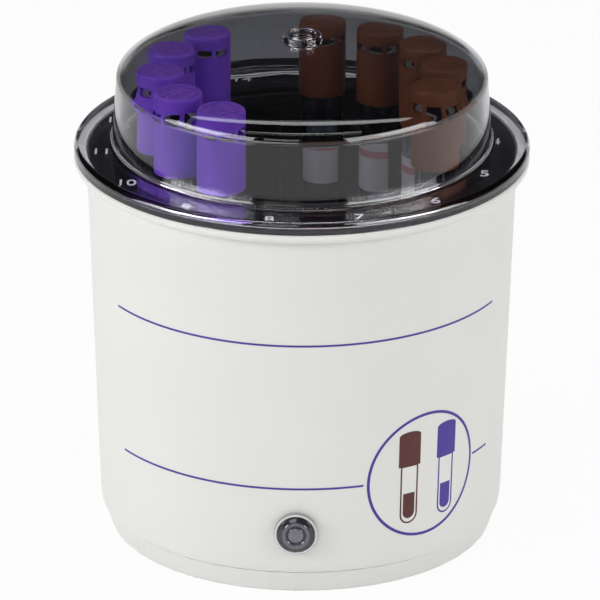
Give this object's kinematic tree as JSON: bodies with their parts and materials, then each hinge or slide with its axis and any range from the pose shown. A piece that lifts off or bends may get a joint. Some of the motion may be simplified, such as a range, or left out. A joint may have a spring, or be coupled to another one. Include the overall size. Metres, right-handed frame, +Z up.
{
  "type": "biological indicator incubator",
  "caption": "Round dry-block incubator for indicator vials: tapered tub, ring of open-sided wells round a cavity, clear lift-off dome lid and a pilot lamp.",
  "frame": {"origin": "on the bench, at the middle of the tub", "axes": "+Z up, -Y towards the front, where the pilot lamp is, and +X to the right seen from the front"},
  "size_m": [0.13, 0.13, 0.1488],
  "materials": {
    "white_plastic": "moulded off-white, soft gloss",
    "black_plastic": "glossy black",
    "black_aluminium": "black anodised",
    "clear_plastic": "clear moulded",
    "blue_plastic": "moulded blue-violet",
    "brown_plastic": "moulded brown",
    "vial_plastic": "translucent",
    "lamp_lens": "dark, glossy",
    "bezel_plastic": "pale, glossy",
    "grey_plastic": "matt grey",
    "cream_plastic": "matt cream",
    "rubber": "black rubber",
    "silicone": "red silicone",
    "insulation": "felted fibre",
    "steel": "plain steel",
    "wire_sleeve": "grey wire sleeve"
  },
  "bodies": {
    "tub": {"housing_tub": "white_plastic", "base_cover": "white_plastic", "top_plate": "black_plastic", "block_collar": "black_plastic", "cord_gland": "black_plastic", "gland_nut": "black_plastic", "heating_block": "black_aluminium", "lamp_lens": "lamp_lens", "lamp_bezel": "bezel_plastic", "lamp_body": "grey_plastic", "terminal_block": "cream_plastic", "rubber_foot_1": "rubber", "rubber_foot_2": "rubber", "rubber_foot_3": "rubber", "rubber_foot_4": "rubber", "heater_pad": "silicone", "insulation_sleeve": "insulation", "insulation_pad": "insulation", "base_screw_1": "steel", "base_screw_2": "steel", "base_screw_3": "steel", "block_standoff_1": "steel", "block_standoff_2": "steel", "block_standoff_3": "steel", "thermostat": "steel", "thermostat_screw_1": "steel", "thermostat_screw_2": "steel", "thermal_fuse": "steel", "fuse_clip": "steel", "fuse_clip_screw": "steel", "lamp_nut": "steel", "terminal_mount_screw": "steel", "thermostat_lead": "wire_sleeve", "fuse_lead": "wire_sleeve", "heater_lead": "wire_sleeve", "return_lead": "wire_sleeve", "lamp_lead_left": "wire_sleeve", "lamp_lead_right": "wire_sleeve", "vial_tube_01": "vial_plastic", "vial_tube_02": "vial_plastic", "vial_tube_03": "vial_plastic", "vial_tube_04": "vial_plastic", "vial_tube_05": "vial_plastic", "vial_tube_09": "vial_plastic", "vial_tube_10": "vial_plastic", "vial_tube_11": "vial_plastic", "vial_tube_12": "vial_plastic", "vial_tube_13": "vial_plastic", "vial_cap_01": "brown_plastic", "vial_cap_02": "brown_plastic", "vial_cap_03": "brown_plastic", "vial_cap_04": "brown_plastic", "vial_cap_05": "brown_plastic", "vial_cap_09": "blue_plastic", "vial_cap_10": "blue_plastic", "vial_cap_11": "blue_plastic", "vial_cap_12": "blue_plastic", "vial_cap_13": "blue_plastic"},
    "lid": {"lid_dome": "clear_plastic"}
  },
  "joints": [
    {"name": "lid_lift", "type": "slide", "parent": "tub", "child": "lid", "axis": [0, 0, 1], "range_m": [0, 0.12]}
  ]
}
